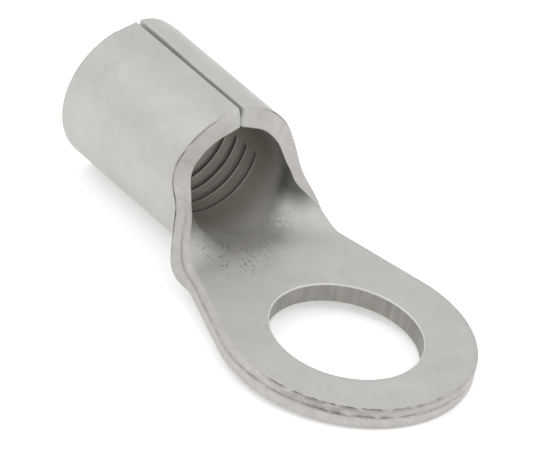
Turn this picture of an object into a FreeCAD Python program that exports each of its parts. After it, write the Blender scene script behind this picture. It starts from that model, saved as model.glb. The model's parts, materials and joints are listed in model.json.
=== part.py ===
import FreeCAD, Part
import math
import os

from FreeCAD import Placement, Rotation, Vector

# A non-insulated ring terminal: one piece of copper sheet, stamped to a flat
# blank, with its tongue dished to a gutter and its two wings rolled up until
# they butt along the top of the wire barrel. Millimetres throughout.
# The origin is the centre of the stud hole on the ring's underside. The
# barrel lies along -X, and +Z is up, through the hole.

# Driving dimensions
sheet = 1.45              # thickness of the copper sheet
ring_d = 18.0             # outside of the ring
stud_hole_d = 10.5        # clearance hole for the M10 stud
edge_roll_r = 0.3         # rounded lower corner that the punch leaves all round
hole_break = 0.12         # small bevel at the top rim of the stud hole

taper_deg = 17.7          # each side of the tongue runs in at this angle
dish_start_x = -9.2       # the tongue is flat up to here
dish_end_x = -13.8        # from here on the gutter has the barrel's curve
dip_start_x = -8.8        # the floor starts to go down here
corner_r = 3.8            # inside corner of the blank, between tongue and wing
corner_end_deg = 84.0     # how far the corner has turned where it meets the wing

bore_d = 8.0              # inside of the wire barrel
front_x = -14.3           # front edge of the wings, at the barrel's floor
barrel_length = 12.4
barrel_drop = 1.33        # barrel's underside below the ring's, at the front
barrel_tilt_deg = 3.7     # the barrel points down by this, away from the ring
roof_deg = 15.0           # the last part of each wing stays straight, so the
                          # seam makes a low ridge

seam_mouth = 0.38         # width of the V between the two wings, outside
seam_root = 0.08          # and at its bottom
seam_depth = 1.05         # the wings are brazed together below this
seam_lip_r = 0.18         # rounding of the wings' edges along the seam

serration_count = 6
serration_pitch = 1.22
serration_first = 2.25    # first groove, from the barrel's front edge
serration_width = 0.35
serration_depth = 0.25
serration_half_deg = 88.0 # each groove runs this far up both sides of the bore

# Sizes that follow
ring_r = ring_d / 2
stud_r = stud_hole_d / 2
bore_r = bore_d / 2
mid_r = bore_r + sheet / 2
barrel_r = bore_r + sheet
taper = math.radians(taper_deg)
corner_end = math.radians(corner_end_deg)
tilt = math.radians(barrel_tilt_deg)
roof = math.radians(roof_deg)
cut_margin = 1.0          # how far cutting tools stand out of the metal
join_tolerance = 1e-3     # faces this close are taken as meeting
least_curl = 1e-6         # below this the sheet is taken as flat

# The blank's inside corner touches the tongue's side and the wing's front edge
corner_x = front_x + corner_r * math.sin(corner_end)
corner_steps = 7          # spans of the smooth surface round the corner
half_row_steps = 5        # and from the centre line to each edge


def tongue_half_width(x):
    """Half the blank's width on the tongue: a line tangent to the ring."""
    return ring_r / math.cos(taper) + x * math.tan(taper)


corner_half_width = tongue_half_width(corner_x) + corner_r / math.cos(taper)


def ease(share):
    """Smooth step from 0 to 1, with no kink at either end."""
    share = min(max(share, 0.0), 1.0)
    return share ** 3 * (share * (6 * share - 15) + 10)


def dish(x):
    """How far the sheet is curled at x: 0 is flat, 1 is the barrel's curve."""
    return ease((dish_start_x - x) / (dish_start_x - dish_end_x))


def sink(x):
    """How far the gutter's floor has gone down to the barrel's floor."""
    return ease((dip_start_x - x) / (dip_start_x - front_x))


def floor_point(x):
    """Middle of the sheet's thickness on the centre line, at x."""
    slope = math.tan(tilt) * (x - front_x)
    flat = sheet / 2
    barrel_floor = sheet / 2 - barrel_drop + slope
    share = sink(x)
    return Vector(x, 0, flat * (1 - share) + barrel_floor * share)


def bent(x, along, out):
    """Where a point of the flat blank lies once the sheet is bent."""
    lean = tilt * sink(x)
    up = Vector(-math.sin(lean), 0, math.cos(lean))
    curl = dish(x)
    if curl < least_curl:
        return floor_point(x) + Vector(0, along, 0) + up * out
    radius = mid_r / curl
    angle = along / radius
    side = (radius - out) * math.sin(angle)
    rise = radius - (radius - out) * math.cos(angle)
    return floor_point(x) + Vector(0, side, 0) + up * rise


def ring_and_tongue():
    """The flat part: a ring with a tongue that narrows towards the barrel."""
    touch = Vector(-ring_r * math.sin(taper), ring_r * math.cos(taper), 0)
    end = Vector(dip_start_x, tongue_half_width(dip_start_x), 0)
    mirror = Vector(1, -1, 1)
    touch_low = Vector(touch.x * mirror.x, touch.y * mirror.y, 0)
    end_low = Vector(end.x * mirror.x, end.y * mirror.y, 0)
    outline = Part.Wire([
        Part.Arc(touch, Vector(ring_r, 0, 0), touch_low).toShape(),
        Part.makeLine(touch_low, end_low),
        Part.makeLine(end_low, end),
        Part.makeLine(end, touch),
    ])
    return Part.Face(outline).extrude(Vector(0, 0, sheet))


def neck_edge():
    """Points along the blank's right edge, from the tongue round the corner."""
    points = [(dip_start_x, tongue_half_width(dip_start_x))]
    for step in range(corner_steps + 1):
        turn = -taper + (corner_end + taper) * step / corner_steps
        points.append((corner_x - corner_r * math.sin(turn),
                       corner_half_width - corner_r * math.cos(turn)))
    return points


def through(points, marks):
    """A smooth curve through the points, which it reaches at the marks."""
    curve = Part.BSplineCurve()
    curve.interpolate(Points=points, Parameters=marks)
    return curve


def neck_skin(out):
    """One side of the bent sheet between tongue and barrel, as a smooth surface."""
    edge = neck_edge()
    marks = [0.0]
    for start, end in zip(edge, edge[1:]):
        marks.append(marks[-1] + math.dist(start, end))
    shares = [step / half_row_steps for step in range(-half_row_steps, half_row_steps + 1)]
    rows = []
    for mark, (edge_x, half) in zip(marks, edge):
        middle_x = dip_start_x + (front_x - dip_start_x) * mark / marks[-1]
        bow = edge_x - middle_x
        row = [bent(middle_x + bow * share ** 2, half * share, out) for share in shares]
        rows.append(through(row, shares))
    columns = [through(list(line), marks) for line in zip(*[row.getPoles() for row in rows])]
    across = rows[0]
    along = columns[0]
    skin = Part.BSplineSurface()
    skin.buildFromPolesMultsKnots([column.getPoles() for column in columns],
                                  across.getMultiplicities(), along.getMultiplicities(),
                                  across.getKnots(), along.getKnots(),
                                  False, False, across.Degree, along.Degree)
    return skin


def neck():
    """The gutter between the flat tongue and the barrel, with the corners."""
    low = neck_skin(-sheet / 2)
    top = neck_skin(sheet / 2)
    left, right, start, end = low.bounds()
    faces = [low.toShape(), top.toShape()]
    for side in (left, right):
        faces.append(Part.makeRuledSurface(low.uIso(side).toShape(), top.uIso(side).toShape(), 1))
    for row in (start, end):
        below = low.vIso(row)
        above = top.vIso(row)
        joints = [Part.makeLine(below.value(side), above.value(side)) for side in (left, right)]
        rim = [below.toShape(), joints[1], above.toShape(), joints[0]]
        faces.append(Part.Face(Part.Wire(Part.sortEdges(rim)[0])))
    shell = Part.Shell(faces)
    shell.sewShape()
    return Part.Solid(shell)


def roofed_circle(radius):
    """Barrel section in its own plane: round, with straight ends at the top."""
    meet = Vector(0, 0, radius / math.cos(roof))
    left = Vector(0, -radius * math.sin(roof), radius * math.cos(roof))
    right = Vector(0, radius * math.sin(roof), radius * math.cos(roof))
    return Part.Wire([
        Part.Arc(left, Vector(0, 0, -radius), right).toShape(),
        Part.makeLine(right, meet),
        Part.makeLine(meet, left),
    ])


def seam_groove():
    """The V left open between the two butted wings."""
    top = barrel_r / math.cos(roof)
    root_z = top - seam_depth
    widen = (seam_mouth - seam_root) / seam_depth
    high = top + cut_margin
    high_half = (seam_mouth + widen * cut_margin) / 2
    corners = [
        Vector(0, -seam_root / 2, root_z),
        Vector(0, seam_root / 2, root_z),
        Vector(0, high_half, high),
        Vector(0, -high_half, high),
    ]
    wedge = Part.Face(Part.makePolygon(corners + corners[:1]))
    wedge.translate(Vector(cut_margin, 0, 0))
    return wedge.extrude(Vector(-barrel_length - 2 * cut_margin, 0, 0))


def serrations():
    """Square grooves across the bore's floor that bite on the crimped wire."""
    grooves = []
    axis = Vector(1, 0, 0)
    for number in range(serration_count):
        start = serration_first + number * serration_pitch + serration_width / 2
        groove = Part.makeCylinder(bore_r + serration_depth, serration_width,
                                   Vector(-start, 0, 0), axis, 2 * serration_half_deg)
        groove.rotate(Vector(0, 0, 0), axis, 180 - serration_half_deg)
        grooves.append(groove)
    return grooves


def rounded_lips(tube):
    """Rounds the two long edges where the seam's V meets the outside."""
    shallow = barrel_r / math.cos(roof) - seam_depth / 2
    lips = []
    for edge in tube.Edges:
        along = edge.Length > barrel_length - cut_margin
        if along and edge.CenterOfMass.z > shallow and abs(edge.CenterOfMass.y) < seam_mouth:
            lips.append(edge)
    return tube.makeFillet(seam_lip_r, lips)


def barrel():
    """The rolled barrel, made along its own axis and then laid in place."""
    section = Part.Face(roofed_circle(barrel_r)).cut(Part.Face(roofed_circle(bore_r)))
    tube = section.extrude(Vector(-barrel_length, 0, 0))
    tube = rounded_lips(tube.cut(seam_groove()))
    for groove in serrations():
        tube = tube.cut(groove)
    up = Vector(-math.sin(tilt), 0, math.cos(tilt))
    place = Placement(floor_point(front_x) + up * mid_r,
                      Rotation(Vector(0, 1, 0), -barrel_tilt_deg))
    tube.Placement = place
    return tube


def stud_hole():
    """The hole for the stud, with a small bevel at its top rim."""
    drill = Part.makeCylinder(stud_r, sheet + 2 * cut_margin, Vector(0, 0, -cut_margin))
    bevel = Part.makeCone(stud_r, stud_r + 2 * hole_break, 2 * hole_break,
                          Vector(0, 0, sheet - hole_break))
    return drill.fuse(bevel)


def rolled_edge(body):
    """Rounds the lower outer edge, from the ring's tip along both sides."""
    tip = Part.Vertex(ring_r, 0, 0)
    outline = [edge for edge in body.Edges if edge.distToShape(tip)[0] < join_tolerance]
    return body.makeFillet(edge_roll_r, outline)


def terminal():
    """The whole formed blank as one solid."""
    body = neck().fuse([barrel()], join_tolerance)
    body = body.fuse([ring_and_tongue()], join_tolerance)
    return rolled_edge(body).cut(stud_hole())


os.makedirs("parts", exist_ok=True)
shape = terminal()
solid = shape.Solids[0]
print("solids", len(shape.Solids), "valid", shape.isValid(), "volume mm3", round(shape.Volume, 1))
solid.exportStep("parts/terminal.step")
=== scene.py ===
import json
import math
from collections import namedtuple

import bmesh
import bpy
import numpy as np
from mathutils import Matrix, Vector, noise
from mathutils.geometry import delaunay_2d_cdt


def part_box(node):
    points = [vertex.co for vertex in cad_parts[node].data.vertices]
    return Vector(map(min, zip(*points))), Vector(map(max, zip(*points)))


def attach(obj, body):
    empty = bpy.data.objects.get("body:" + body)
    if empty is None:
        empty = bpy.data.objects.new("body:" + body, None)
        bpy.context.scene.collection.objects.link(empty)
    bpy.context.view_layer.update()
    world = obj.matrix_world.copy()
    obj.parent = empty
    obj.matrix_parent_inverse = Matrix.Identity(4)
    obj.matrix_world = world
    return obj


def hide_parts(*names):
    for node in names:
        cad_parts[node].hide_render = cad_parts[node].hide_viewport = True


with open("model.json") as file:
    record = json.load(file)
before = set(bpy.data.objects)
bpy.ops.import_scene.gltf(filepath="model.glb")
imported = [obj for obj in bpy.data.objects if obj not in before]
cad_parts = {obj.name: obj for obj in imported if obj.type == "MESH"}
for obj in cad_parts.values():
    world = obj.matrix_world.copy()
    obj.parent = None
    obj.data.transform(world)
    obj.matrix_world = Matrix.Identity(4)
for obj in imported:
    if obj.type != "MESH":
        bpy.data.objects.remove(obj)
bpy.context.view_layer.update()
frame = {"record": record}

# The terminal
# One stamping of copper sheet with matte tin plate: a flat ring on a tapering
# tongue, dished at the neck and rolled up to a barrel whose edges butt on top.
# The blank is laid out flat here, meshed, and then bent to the formed shape.
MM = 0.001
mounts = {mount["name"]: mount for mount in frame["record"]["mounts"]}
node_low, node_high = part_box("terminal")

# Sheet, ring and barrel sizes, read from the frame, in millimetres
stud_r = mounts["stud_hole"]["dims"]["r_mm"]
bore_r = mounts["wire_barrel"]["dims"]["r_mm"]
barrel_length = mounts["wire_barrel"]["dims"]["length_mm"]
sheet = mounts["ring_top"]["pos_m"][2] / MM
ring_r = node_high.x / MM
away = Vector(mounts["wire_barrel"]["axis"])
tilt = math.asin(-away.z)
half_sheet = sheet / 2
mid_r = bore_r + half_sheet

# The blank's outline and where it bends. Places on the blank are given by a,
# along it towards the ring's tip, and s, across it from the centre line.
taper = math.radians(17.7)      # each side of the tongue runs in at this angle
corner_r = 3.8                  # inside corner, between tongue and wing
corner_turn = math.radians(84.0)
flat_end = -8.8                 # the floor starts to go down here
dish_start = -9.2               # the sheet starts to curl here
dish_end = -13.8                # and has the barrel's curve from here on
front = -14.3                   # front edge of the wings
barrel_drop = 1.33              # barrel's underside below the ring's
least_curl = 1e-5               # below this the sheet is taken as flat
roof = math.radians(15.0)       # the last part of each wing stays straight
roof_start = math.pi - roof
wing_end = roof_start * mid_r + mid_r * math.tan(roof)
corner_a = front + corner_r * math.sin(corner_turn)
corner_s = (ring_r + corner_r) / math.cos(taper) + corner_a * math.tan(taper)
rear = front - barrel_length

# The seam's V: wide at the mouth outside, nearly shut at its root
seam_mouth = 0.36
seam_root = 0.04
seam_depth = 0.85
root_depth = sheet - seam_depth
lip_r = 0.18
seam_reach = 1.6                # the wing's ends follow the seam over this width

# At the rear one wing stands proud of the other
proud_wing = 0.24
proud_from = (-18.0, -26.0)
proud_middle = wing_end - 1.0
proud_half = 1.1

# The grooves in the bore's lower part, and how far their ends run out
groove_count = 6
groove_pitch = 1.14
groove_first = 2.50
groove_width = 0.24
groove_depth = 0.14
groove_half = math.radians(88.0) * mid_r
groove_fade = 0.6

# The bevel that the punch tears along the top edge, and the lower edges' rolls
bevel_in = 0.38
bevel_down = 0.42
bevel_start = 0.03
bevel_parts = 5
pit = 0.09
roll_r = 0.30
mouth_roll_r = 0.09
hole_roll_r = 0.05
foot_steps = 6

# How bending pushed the cut edges out: the mouth's rim leans forward, the lower
# edge of the neck's -Y flank swells, and so does the cheek above the +Y flank
mouth_lean = 0.26
lean_lost_at_seam = 0.4
flank_bulge = 0.62
flank_from = (-8.2, -11.4)
flank_sharpens = 0.7
cheek_bulge = 0.30
cheek_foot = 0.1
cheek_height = 2.2

# Round the inside corner, as shares of the way from the tongue to the wing: where
# the square mouth takes over, where the flank's swell halves and where it ends,
# where the cheek comes in, and where the torn line of the mouth's lip does
corner_mouth = (0.35, 0.75)
corner_thins = (0.20, 0.45)
corner_clears = (0.50, 0.80)
corner_cheek = (0.40, 0.75)
corner_lip = (0.18, 0.38)
lip_fades = (wing_end - 2.6, wing_end - 1.2)

# How the tear runs round the ring, by the angle from the ring's tip in degrees
bevel_fades = (5, 50)
upper_line_from = (-92, -67)
worst_turn = -42
worst_half = 34
least_torn = 0.55
torn_base = 0.8
torn_swing = 1.3
# Waves per millimetre along the edge, per level down it, and how strong
ragged_waves = [(1.3, 0.5, 1.0), (3.7, 0.8, 0.7)]

# Where shade is painted on the metal, in the bore and the cheek's hollow, and where it is pitted and
# flecked
bore_shade_from = (-13.2, -16.2)
cheek_shade_from = (-11.0, -12.5)
cheek_shade_to = (-12.9, -14.7)
cheek_shade_up = (4.2, 6.8)
pitted_along = (-10.3, 2.2)
pitted_across = (-2.3, 3.0)
fleck_along = (-12.0, 0.8)
fleck_across = (3.6, 0.9)

# How fine the mesh is, and how close its parts are when they are welded
edge_step = 0.12
skin_step = 0.27
row_step = skin_step * 0.87
skin_clear = skin_step * 0.45
weld = 0.0004 * MM
middle_reach = 0.003 * MM
middle_weld = 0.02 * MM
tiny = 1e-12
net_tolerance = 1e-6


def ease(share):
    """Smooth step from 0 to 1, with no kink at either end."""
    share = min(max(share, 0.0), 1.0)
    return share ** 3 * (share * (6 * share - 15) + 10)


def rise(value, start, end):
    """0 up to the start and 1 past the end, which may be the lower of the two."""
    return ease((value - start) / (end - start))


def mound(value, middle, half):
    """A smooth hill, 1 at the middle and about a third at half."""
    return math.exp(-((value - middle) / half) ** 2)


def floor_line(a):
    """Where the middle of the sheet's centre line lies, and how far it leans."""
    share = rise(a, flat_end, front)
    reach = max(a, front)
    barrel_z = half_sheet - barrel_drop + math.tan(tilt) * (reach - front)
    z = half_sheet * (1 - share) + barrel_z * share
    beyond = min(a - front, 0.0)
    return reach + math.cos(tilt) * beyond, z + math.sin(tilt) * beyond, tilt * share


def formed(a, s, above):
    """The point of the blank at a and s, above the sheet's middle, once bent."""
    x, z, lean = floor_line(a)
    curl = rise(a, dish_start, dish_end)
    if curl < least_curl:
        return Vector((x, s, z + above)) * MM
    radius = mid_r / curl
    angle = s / radius
    past = max(angle - roof_start, 0.0)
    angle -= past
    side = (radius - above) * math.sin(angle) + past * radius * math.cos(angle)
    height = radius - (radius - above) * math.cos(angle) + past * radius * math.sin(angle)
    return Vector((x - math.sin(lean) * height, side, z + math.cos(lean) * height)) * MM


def groove_at(a, s):
    """How deep the wire grooves are at this place of the bore, 0 to 1."""
    back = front - a - groove_first
    number = min(max(round(back / groove_pitch), 0), groove_count - 1)
    off = abs(back - number * groove_pitch) / (groove_width / 2)
    return max(1 - off, 0.0) * rise(abs(s), groove_half, groove_half - groove_fade)


# A place on the blank's edge: where it is, which way it faces, and how much it
# belongs to the seam, the mouth, the neck's flank, the cheek above that, and the
# torn line along the mouth's outer lip
Edge = namedtuple("Edge", "a s face_a face_s seam mouth flank cheek lip", defaults=(0.0,) * 5)


def steps(length):
    """How many steps an edge of this length gets."""
    return max(int(round(length / edge_step)), 2)


def neck_flank(a):
    """How far along the neck the lower edge has started to spread outward."""
    return rise(a, *flank_from)


def near_seam(s):
    """How much a place across the wing's end moves with the seam's edge."""
    return rise(s, wing_end - seam_reach, wing_end)


def outer_edge():
    """Half the blank's outer edge, from the ring's tip round to the barrel's rear."""
    edge = []

    # Round the ring
    sweep = math.pi / 2 + taper
    count = steps(ring_r * sweep)
    for i in range(count):
        turn = sweep * i / count
        facing = (math.cos(turn), math.sin(turn))
        edge.append(Edge(ring_r * facing[0], ring_r * facing[1], *facing))

    # Along the tongue's side
    facing = (-math.sin(taper), math.cos(taper))
    start = (ring_r * facing[0], ring_r * facing[1])
    end = (corner_a - corner_r * facing[0], corner_s - corner_r * facing[1])
    count = steps(math.dist(start, end))
    for i in range(count):
        share = i / count
        a = start[0] + (end[0] - start[0]) * share
        s = start[1] + (end[1] - start[1]) * share
        edge.append(Edge(a, s, *facing, flank=neck_flank(a)))

    # Round the inside corner
    count = steps(corner_r * (corner_turn + taper))
    for i in range(count):
        share = i / count
        turn = -taper + (corner_turn + taper) * share
        a = corner_a - corner_r * math.sin(turn)
        s = corner_s - corner_r * math.cos(turn)
        thinned = (1 - 0.5 * rise(share, *corner_thins)) * (1 - rise(share, *corner_clears))
        edge.append(Edge(a, s, math.sin(turn), math.cos(turn),
                         mouth=rise(share, *corner_mouth), flank=neck_flank(a) * thinned,
                         cheek=rise(share, *corner_cheek), lip=rise(share, *corner_lip)))

    # Across the wing's front, which becomes the mouth
    low = corner_s - corner_r * math.cos(corner_turn)
    count = steps(wing_end - low)
    for i in range(count):
        s = low + (wing_end - low) * i / count
        edge.append(Edge(front, s, 1, 0, seam=near_seam(s), mouth=1,
                         cheek=1 - rise(s, low, low + cheek_height), lip=1 - rise(s, *lip_fades)))

    # Along the seam, clear of the wing's corners
    count = steps(barrel_length)
    clear = 2 * edge_step
    for i in range(count + 1):
        a = front - clear - (barrel_length - 2 * clear) * i / count
        edge.append(Edge(a, wing_end, 0, 0, seam=1, mouth=1))

    # Back across the barrel's rear to the centre line
    count = steps(wing_end)
    for i in range(count + 1):
        s = wing_end * (1 - i / count)
        edge.append(Edge(rear, s, -1, 0, seam=near_seam(s), mouth=1))
    return edge


def hole_edge():
    """Half the stud hole's edge, from the barrel's side to the ring's tip."""
    count = steps(stud_r * math.pi)
    edge = []
    for i in range(count + 1):
        turn = math.pi * (1 - i / count)
        across = math.cos(turn)
        up = math.sin(turn)
        edge.append(Edge(stud_r * across, stud_r * up, -across, -up))
    return edge


# The cut edge in section, as distance in from the outline and depth below the
# top: bevelled and torn along ring and neck, square at the mouth, and the hole's
torn_cut = [(bevel_in + 0.07, 0.0), (bevel_in, bevel_start)]
for part in range(1, bevel_parts + 1):
    part_share = part / bevel_parts
    torn_cut.append((bevel_in * (1 - part_share), bevel_start + (bevel_down - bevel_start) * part_share))
torn_cut += [(0.0, 0.50), (0.0, 0.62), (0.0, 0.90)]
square_cut = [(0.07, 0.0), (0.03, 0.01), (0.01, 0.035), (0.0, 0.08), (0.0, 0.22), (0.0, 0.42),
              (0.0, root_depth), (0.0, root_depth + 0.05), (0.0, 0.78), (0.0, 0.95)]
hole_cut = [(0.15, 0.0), (0.10, 0.015), (0.05, 0.045), (0.02, 0.09), (0.0, 0.15), (0.0, 0.29),
            (0.0, 0.40), (0.0, 0.50), (0.0, 0.64), (0.0, 0.90)]
root_level = square_cut.index((0.0, root_depth))
last_level = len(torn_cut) + foot_steps

# Painted light in the hole, level by level: a painted highlight along the rim (-1) and painted shade on
# the wall (1)
hole_shade_and_highlight = [0.0, -1.0, -1.0, -0.2] + [1.0] * (last_level - 5) + [0.3, 0.0]

# How dark the two torn lines and the bevel between them are, level by level
upper_tear = (0.0, 1.0, 0.6, 0.0, 0.0, 0.0, 0.0, 0.0, 0.0, 0.0)
lower_tear = (0.0, 0.0, 0.0, 0.0, 0.0, 0.3, 1.0, 0.5, 0.0, 0.0)
facet_tear = (0.0, 0.0, 0.45, 0.4, 0.4, 0.45, 0.5, 0.5, 0.0, 0.0)


def seam_back(depth, foot_r):
    """How far the wing's edge stands back from the other wing, at this depth."""
    lean = (half_sheet - depth) * math.tan(roof)
    if depth <= root_depth:
        return lean
    half_gap = (seam_root + (seam_mouth - seam_root) * (depth - root_depth) / seam_depth) / 2
    left = max(depth - sheet + foot_r, 0.0)
    return lean + half_gap + foot_r - math.sqrt(foot_r * foot_r - left * left)


def torn_strength(edge, side):
    """How deep the bevel is, and how badly torn along its upper and lower line."""
    turn = math.degrees(math.atan2(edge.s * side, edge.a))
    bevel = 1 - rise(turn, *bevel_fades)
    worst = mound(turn, worst_turn, worst_half)
    lower = (least_torn + (1 - least_torn) * worst) * bevel
    upper = rise(turn, *upper_line_from) * lower
    return bevel, upper, lower, worst


def raggedness(edge, level, side):
    """How unevenly the metal tore here, in long waves and short ones."""
    total = 0.0
    for rate, level_rate, strength in ragged_waves:
        place = Vector((edge.a * rate, edge.s * side * rate, level * level_rate))
        total += strength * noise.noise(place)
    return total


def edge_spot(edge, level, side, cut, foot_r):
    """Flat place, height and painted values of one vertex of the cut edge."""
    tear = 0.0
    if level < len(cut):
        back, depth = cut[level]
        if cut is torn_cut:
            square_back, square_depth = square_cut[level]
            bevel, upper, lower, worst = torn_strength(edge, side)
            square = max(edge.mouth, 1 - bevel)
            back += (square_back - back) * square
            depth += (square_depth - depth) * square
            tear = max(upper_tear[level] * upper, lower_tear[level] * lower, facet_tear[level] * worst)
            tear *= 1 - edge.mouth
    else:
        sharp_r = lip_r if edge.seam else mouth_roll_r
        foot = foot_r + (sharp_r - foot_r) * max(edge.mouth, edge.flank * flank_sharpens)
        turn = math.pi / 2 * (level - len(cut)) / foot_steps
        back = foot * (1 - math.cos(turn))
        depth = sheet - foot * (1 - math.sin(turn))
        if len(cut) < level < last_level:
            tear = edge.lip
    tear *= min(max(torn_base + torn_swing * raggedness(edge, level, side), 0.0), 1.0)
    down = depth / sheet
    if level > 0:
        back += pit * tear * (1 - edge.lip)
    at_seam = 1 - lean_lost_at_seam * edge.seam
    back -= mouth_lean * edge.mouth * max(edge.face_a, 0.0) * (1 - down) * at_seam
    if side < 0:
        back -= flank_bulge * edge.flank * down
    else:
        back -= cheek_bulge * edge.cheek * (1 - down) - cheek_foot * edge.cheek * down
    flat_a = edge.a - edge.face_a * back
    flat_s = edge.s - edge.face_s * back - seam_back(depth, lip_r) * edge.seam
    return flat_a, flat_s, half_sheet - depth, 1.0 - edge.seam, tear


class Shell:
    """Vertices, faces and painted values of one side of the terminal."""

    def __init__(self, side):
        self.side = side
        self.points = []
        self.faces = []
        self.paint = []

    def add(self, a, s, above, top, cut=0.0, tear=0.0, groove=0.0, hole_painted_light=0.0):
        """Bends one flat place, paints it and returns its number."""
        proud = 0.0
        if self.side > 0:
            deep = max((half_sheet - above - root_depth) / (sheet - root_depth), 0.0)
            proud = proud_wing * deep * rise(a, *proud_from) * mound(s, proud_middle, proud_half)
        spot = formed(a, s, above - proud)
        self.points.append((spot.x, spot.y * self.side, spot.z))
        across = s * self.side
        # Masks of the painted shade in the bore and in the cheek's hollow, on the top skin only
        inside = rise(a, *bore_shade_from) * top
        cheek = rise(a, *cheek_shade_from) * (1 - rise(a, *cheek_shade_to))
        cheek *= rise(abs(s), *cheek_shade_up) * top
        pitted = mound(a, *pitted_along) * mound(across, *pitted_across) * top
        fleck = mound(a, *fleck_along) * mound(across, *fleck_across) * top
        self.paint.append((cut, tear, groove, inside, cheek, pitted, fleck, hole_painted_light))
        return len(self.points) - 1


def add_edge(shell, edges, cut, foot_r):
    """The shaped cut face along one edge; gives the flat loops of its two rims."""
    rings = []
    rims = []
    for level in range(last_level + 1):
        ring = []
        flat = []
        for edge in edges:
            a, s, above, tone, tear = edge_spot(edge, level, shell.side, cut, foot_r)
            flat.append((a, s))
            groove = groove_at(a, s) if level == 0 else 0.0
            # The hole's wall gets painted shade and its rim a painted highlight
            hole_painted_light = hole_shade_and_highlight[level] if cut is hole_cut else 0.0
            top = 1.0 if level == 0 else 0.0
            ring.append(shell.add(a, s, above - groove_depth * groove, top, tone, tear, groove, hole_painted_light))
        rings.append(ring)
        rims.append(flat)
    for level, (upper, lower) in enumerate(zip(rings, rings[1:])):
        for i in range(len(edges) - 1):
            # Below the V's root the two wings are one, so there is no face there
            joined = edges[i].seam == 1 and edges[i + 1].seam == 1 and level < root_level
            if not joined:
                shell.faces.append((upper[i], upper[i + 1], lower[i + 1], lower[i]))
    return rims[0], rims[-1]


def middle_points(start, end):
    """Points along the centre line from one edge to the next, ends left out."""
    count = max(int(abs(end - start) / skin_step), 2)
    return [(start + (end - start) * i / count, 0.0) for i in range(1, count)]


def skin_grid(grooved):
    """Places for the skin's own vertices, closer together at the wire grooves."""
    rows = list(np.arange(rear + skin_step, ring_r, row_step))
    if grooved:
        first = front - groove_first + groove_width
        last = first - (groove_count - 1) * groove_pitch - 2 * groove_width
        rows = [a for a in rows if not last < a < first]
        for number in range(groove_count):
            middle = front - groove_first - number * groove_pitch
            for part in (-3.0, -1.6, -1.0, -0.5, 0.0, 0.5, 1.0, 1.6, 3.0):
                rows.append(middle + part * groove_width / 2)
    spots = []
    for i, a in enumerate(rows):
        shift = 0.5 * (i % 2)
        for s in np.arange(skin_step * (0.5 + shift), wing_end, skin_step):
            spots.append((a, s))
    return np.array(spots)


def inside_loop(spots, loop, clear):
    """Those spots that lie within the loop and clear of its edge."""
    start = np.array(loop)
    end = np.roll(start, -1, axis=0)
    keep = np.zeros(len(spots), bool)
    near = np.full(len(spots), np.inf)
    for p, q in zip(start, end):
        crosses = (p[1] > spots[:, 1]) != (q[1] > spots[:, 1])
        climb = q[1] - p[1]
        if abs(climb) > tiny:
            at = p[0] + (spots[:, 1] - p[1]) * (q[0] - p[0]) / climb
            keep ^= crosses & (spots[:, 0] < at)
        along = q - p
        share = np.clip(((spots - p) @ along) / max(along @ along, tiny), 0, 1)
        gap = np.linalg.norm(spots - p - share[:, None] * along, axis=1)
        near = np.minimum(near, gap)
    return spots[keep & (near > clear)]


def add_skin(shell, above, outer, hole, grooved):
    """Fills one side of the half blank with a fine, even net of triangles."""
    loop = outer + middle_points(outer[-1][0], hole[0][0])
    loop += hole + middle_points(hole[-1][0], outer[0][0])
    spots = inside_loop(skin_grid(grooved), loop, skin_clear)
    flat = [Vector(p) for p in loop] + [Vector(p) for p in spots]
    net = delaunay_2d_cdt(flat, [], [list(range(len(loop)))], 1, net_tolerance)
    number = []
    for place in net[0]:
        groove = groove_at(place.x, place.y) if grooved else 0.0
        sunk = above - groove_depth * groove
        number.append(shell.add(place.x, place.y, sunk, float(grooved), groove=groove))
    for face in net[2]:
        shell.faces.append(tuple(number[i] for i in face))


def terminal_mesh():
    """Both halves of the blank are meshed, bent and welded down the middle."""
    bm = bmesh.new()
    names = ("cut", "tear", "groove", "inside", "cheek", "pitted", "fleck", "hole_painted_light")
    layers = [bm.verts.layers.float.new(name) for name in names]
    for side in (1, -1):
        shell = Shell(side)
        outer_top, outer_low = add_edge(shell, outer_edge(), torn_cut, roll_r)
        hole_top, hole_low = add_edge(shell, hole_edge(), hole_cut, hole_roll_r)
        add_skin(shell, half_sheet, outer_top, hole_top, True)
        add_skin(shell, -half_sheet, outer_low, hole_low, False)
        made = []
        for point, values in zip(shell.points, shell.paint):
            vert = bm.verts.new(point)
            for layer, value in zip(layers, values):
                vert[layer] = value
            made.append(vert)
        for face in shell.faces:
            order = face if side > 0 else face[::-1]
            if len(set(order)) == len(order):
                bm.faces.new([made[i] for i in order])
    bmesh.ops.remove_doubles(bm, verts=bm.verts, dist=weld)
    middle = [v for v in bm.verts if abs(v.co.y) < middle_reach]
    for vert in middle:
        vert.co.y = 0.0
    bmesh.ops.remove_doubles(bm, verts=middle, dist=middle_weld)
    bmesh.ops.dissolve_degenerate(bm, edges=bm.edges, dist=weld)
    bmesh.ops.recalc_face_normals(bm, faces=bm.faces)
    for face in bm.faces:
        face.smooth = True
    mesh = bpy.data.meshes.new("terminal_metal")
    bm.to_mesh(mesh)
    bm.free()
    return mesh


# Waves in the metal's surface: how many per metre, how deep in millimetres, and
# how far each pattern is shifted so that they don't fall together
surface_waves = [(260, 0.010, Vector((0, 0, 0))), (1100, 0.003, Vector((7, 3, 5)))]


def settle_surface(mesh):
    """Slight waves that rolling and plating leave in the metal's surface."""
    spots = [v.co.copy() for v in mesh.vertices]
    normals = [v.normal.copy() for v in mesh.vertices]
    for vert, spot, normal in zip(mesh.vertices, spots, normals):
        dip = 0.0
        for rate, depth, shift in surface_waves:
            dip += depth * (1 + noise.noise(spot * rate + shift))
        vert.co = spot - normal * dip * MM


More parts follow.
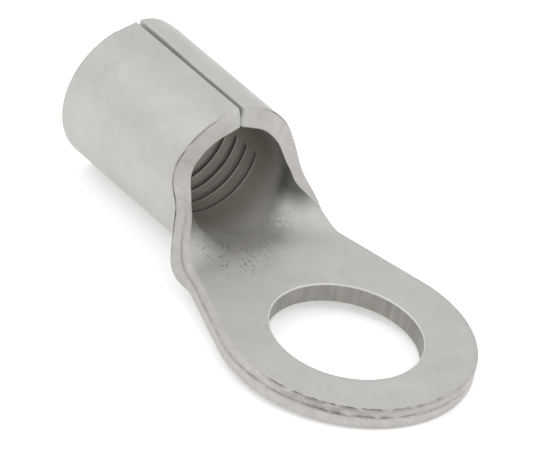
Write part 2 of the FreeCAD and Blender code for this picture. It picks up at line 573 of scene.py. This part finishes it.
# Colours of the plate: plain, where it is mottled, and where it was sheared
plate_dark = (0.535, 0.525, 0.500)
plate_light = (0.575, 0.565, 0.540)
mottle = (0.47, 0.46, 0.435)
sheared_dark = (0.47, 0.45, 0.435)
sheared_light = (0.56, 0.54, 0.525)

# Painted shade for the hole's wall, streaked, and a painted highlight for its rim
hole_wall_shade_dark = (0.26, 0.25, 0.225)
hole_wall_shade_light = (0.36, 0.35, 0.32)
rim_highlight = (0.74, 0.73, 0.70)

# Painted shade for the bore, the hollow of the cheek and the grooves' bottoms; the rubbed
# and pitted neck, the bright flecks and dark specks beside it, and the torn edges
bore_shade = (0.40, 0.375, 0.335)
cheek_shade = (0.10, 0.095, 0.085)
rubbed = (0.47, 0.455, 0.43)
pit_shade = (0.14, 0.13, 0.11)
bright_fleck = (0.72, 0.70, 0.66)
dark_speck = (0.22, 0.21, 0.17)
groove_shade = (0.05, 0.04, 0.03)
torn_shade = (0.09, 0.08, 0.07)


def tin_material():
    """Matte tin plate: pale warm grey, faintly mottled, with darker torn edges, painted shade in the
    bore, cheek, grooves and hole, and a painted highlight on the hole's rim.
    """
    material = bpy.data.materials.new("matte_tin_plate")
    material.use_nodes = True
    nodes = material.node_tree.nodes
    links = material.node_tree.links
    nodes.clear()
    out = nodes.new("ShaderNodeOutputMaterial")
    shader = nodes.new("ShaderNodeBsdfPrincipled")
    shader.inputs["Metallic"].default_value = 0.85
    links.new(shader.outputs["BSDF"], out.inputs["Surface"])
    place = nodes.new("ShaderNodeTexCoord")
    drawn = nodes.new("ShaderNodeVectorMath")
    drawn.operation = "MULTIPLY"
    drawn.inputs[1].default_value = (1.0, 1.0, 0.05)
    links.new(place.outputs["Object"], drawn.inputs[0])

    def noise_at(scale, detail, rough=0.55, vector=place.outputs["Object"]):
        node = nodes.new("ShaderNodeTexNoise")
        node.inputs["Scale"].default_value = scale
        node.inputs["Detail"].default_value = detail
        node.inputs["Roughness"].default_value = rough
        links.new(vector, node.inputs["Vector"])
        return node.outputs["Fac"]

    def ramp(value, low, high, low_out=0.0, high_out=1.0):
        node = nodes.new("ShaderNodeMapRange")
        node.inputs["From Min"].default_value = low
        node.inputs["From Max"].default_value = high
        node.inputs["To Min"].default_value = low_out
        node.inputs["To Max"].default_value = high_out
        links.new(value, node.inputs["Value"])
        return node.outputs["Result"]

    def painted(name):
        node = nodes.new("ShaderNodeAttribute")
        node.attribute_name = name
        return node.outputs["Fac"]

    def times(first, second):
        node = nodes.new("ShaderNodeMath")
        node.operation = "MULTIPLY"
        for socket, value in zip(node.inputs, (first, second)):
            if isinstance(value, (int, float)):
                socket.default_value = value
            else:
                links.new(value, socket)
        return node.outputs[0]

    def mix(factor, base, top):
        node = nodes.new("ShaderNodeMix")
        node.data_type = "RGBA"
        links.new(factor, node.inputs["Factor"])
        for socket, value in ((node.inputs[6], base), (node.inputs[7], top)):
            if isinstance(value, tuple):
                socket.default_value = (*value, 1.0)
            else:
                links.new(value, socket)
        return node.outputs[2]

    # Plate, mottle and sheared edges
    cloud = ramp(noise_at(scale=260, detail=3), 0.35, 0.68)
    spots = ramp(noise_at(scale=1700, detail=5, rough=0.7), 0.50, 0.75, high_out=0.4)
    shear = ramp(noise_at(scale=1500, detail=4, rough=0.7), 0.35, 0.7)
    mottled = mix(spots, mix(cloud, plate_dark, plate_light), mottle)
    colour = mix(times(painted("cut"), 0.8), mottled, mix(shear, sheared_dark, sheared_light))

    # Painted shade on the hole's wall, streaked, and a painted highlight on its rim
    streaks = ramp(noise_at(scale=2600, detail=3, rough=0.6, vector=drawn.outputs[0]), 0.35, 0.7)
    hole_painted_light = mix(streaks, hole_wall_shade_dark, hole_wall_shade_light)
    colour = mix(ramp(painted("hole_painted_light"), 0.0, 1.0, high_out=0.9), colour, hole_painted_light)
    colour = mix(ramp(painted("hole_painted_light"), 0.0, -1.0, high_out=0.9), colour, rim_highlight)

    # Painted shade in the bore and in the hollow of the cheek
    colour = mix(painted("inside"), colour, bore_shade)
    colour = mix(times(painted("cheek"), 0.9), colour, cheek_shade)

    # The neck, rubbed and pitted by the forming tool, with flecks beside it
    patches = ramp(noise_at(scale=900, detail=3), 0.3, 0.6, low_out=0.2, high_out=0.7)
    colour = mix(times(painted("pitted"), patches), colour, rubbed)
    groups = ramp(noise_at(scale=800, detail=2), 0.42, 0.55)
    pits = times(groups, ramp(noise_at(scale=4300, detail=1, rough=0.4), 0.56, 0.64))
    colour = mix(times(times(pits, painted("pitted")), 0.75), colour, pit_shade)
    flecks = ramp(noise_at(scale=3600, detail=2, rough=0.5), 0.50, 0.60)
    colour = mix(times(times(painted("fleck"), flecks), 0.8), colour, bright_fleck)
    specks = ramp(noise_at(scale=4700, detail=2, rough=0.5), 0.60, 0.68)
    colour = mix(times(times(painted("fleck"), specks), 0.7), colour, dark_speck)

    # Painted shade in the grooves' bottoms, and the torn edges
    colour = mix(painted("groove"), colour, groove_shade)
    torn = ramp(noise_at(scale=3000, detail=4, rough=0.8), 0.36, 0.54, low_out=0.45)
    colour = mix(times(times(painted("tear"), torn), 0.95), colour, torn_shade)
    links.new(colour, shader.inputs["Base Color"])

    # A matte finish with a fine grain
    finish = ramp(noise_at(scale=900, detail=4), 0.3, 0.7, low_out=0.50, high_out=0.62)
    links.new(finish, shader.inputs["Roughness"])
    grain = nodes.new("ShaderNodeMath")
    grain.operation = "ADD"
    links.new(noise_at(scale=5200, detail=3), grain.inputs[0])
    links.new(times(noise_at(scale=1500, detail=3), 1.2), grain.inputs[1])
    bump = nodes.new("ShaderNodeBump")
    bump.inputs["Strength"].default_value = 0.35
    bump.inputs["Distance"].default_value = 0.00003
    links.new(grain.outputs[0], bump.inputs["Height"])
    links.new(bump.outputs["Normal"], shader.inputs["Normal"])
    return material


metal_mesh = terminal_mesh()
settle_surface(metal_mesh)
metal = bpy.data.objects.new("terminal_metal", metal_mesh)
bpy.context.scene.collection.objects.link(metal)
metal_mesh.materials.append(tin_material())
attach(metal, "root")
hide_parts("terminal")

# The table
# A plain white sheet for the terminal to lie on. The terminal rests on the far
# end of its barrel and on the ring's tip, so the sheet touches both. It glows
# faintly where it is seen, to keep the background white.
table_size = 3.0
table_white = 0.93
table_roughness = 0.9
table_glow = 0.3
foot_in = 0.3 * MM
barrel_foot = Vector((node_low.x + foot_in, 0, node_low.z))
ring_foot = Vector((node_high.x - roll_r * MM, 0, 0))
slope = math.atan2(ring_foot.z - barrel_foot.z, ring_foot.x - barrel_foot.x)
bpy.ops.mesh.primitive_plane_add(size=table_size)
table = bpy.context.object
table.name = "table"
table.rotation_euler = (0, -slope, 0)
table.location = barrel_foot
white = bpy.data.materials.new("white_sheet")
white.use_nodes = True
white_nodes = white.node_tree.nodes
white_links = white.node_tree.links
sheet_shader = white_nodes["Principled BSDF"]
sheet_shader.inputs["Base Color"].default_value = (table_white, table_white, table_white, 1)
sheet_shader.inputs["Roughness"].default_value = table_roughness
sheet_shader.inputs["Specular IOR Level"].default_value = 0.0
seen = white_nodes.new("ShaderNodeLightPath")
glow = white_nodes.new("ShaderNodeMath")
glow.operation = "MAXIMUM"
white_links.new(seen.outputs["Is Camera Ray"], glow.inputs[0])
white_links.new(seen.outputs["Is Glossy Ray"], glow.inputs[1])
faint = white_nodes.new("ShaderNodeMath")
faint.operation = "MULTIPLY"
faint.inputs[1].default_value = table_glow
white_links.new(glow.outputs[0], faint.inputs[0])
sheet_shader.inputs["Emission Color"].default_value = (1, 1, 1, 1)
white_links.new(faint.outputs[0], sheet_shader.inputs["Emission Strength"])
table.data.materials.append(white)

# The light
# An even white tent with two broad soft lamps: one over the barrel, on the
# camera's side of it, and a weaker one over the ring from the other side.
tent_strength = 0.97
world = bpy.data.worlds.new("white_tent")
bpy.context.scene.world = world
world.use_nodes = True
tent = world.node_tree.nodes["Background"]
tent.inputs["Color"].default_value = (1, 1, 1, 1)
tent.inputs["Strength"].default_value = tent_strength


def soft_lamp(name, place, size, power):
    """A square lamp that points at the terminal."""
    lamp = bpy.data.lights.new(name, "AREA")
    lamp.size = size
    lamp.energy = power
    holder = bpy.data.objects.new(name, lamp)
    holder.location = place
    holder.rotation_euler = (-Vector(place)).to_track_quat("-Z", "Y").to_euler()
    bpy.context.scene.collection.objects.link(holder)


soft_lamp("key_lamp", place=(-0.25, -0.35, 0.55), size=0.35, power=0.5)
soft_lamp("fill_lamp", place=(0.45, 0.25, 0.45), size=0.4, power=0.3)

# The camera
# A long lens beyond the ring's tip and to its -Y side, looking down on the
# terminal and rolled a little about its own line of sight.
turn_deg = 46.636
height_deg = 33.761
roll_deg = 13.637
camera_place = Vector((246.506, -241.978, 239.110)) * MM
sensor_width = 36
focal_length = 418.47
nearest_seen = 0.01
turn, height, roll = (math.radians(v) for v in (turn_deg, height_deg, roll_deg))
back = Vector((math.sin(turn) * math.cos(height), -math.cos(turn) * math.cos(height), math.sin(height)))
level = Vector((math.cos(turn), math.sin(turn), 0))
upright = back.cross(level)
right = level * math.cos(roll) + upright * math.sin(roll)
up = upright * math.cos(roll) - level * math.sin(roll)
camera_data = bpy.data.cameras.new("camera")
camera_data.sensor_width = sensor_width
camera_data.lens = focal_length
camera_data.clip_start = nearest_seen
camera = bpy.data.objects.new("camera", camera_data)
camera.matrix_world = Matrix((
    (right.x, up.x, back.x, camera_place.x),
    (right.y, up.y, back.y, camera_place.y),
    (right.z, up.z, back.z, camera_place.z),
    (0, 0, 0, 1),
))
bpy.context.scene.collection.objects.link(camera)
bpy.context.scene.camera = camera
bpy.context.scene.view_settings.view_transform = "Standard"
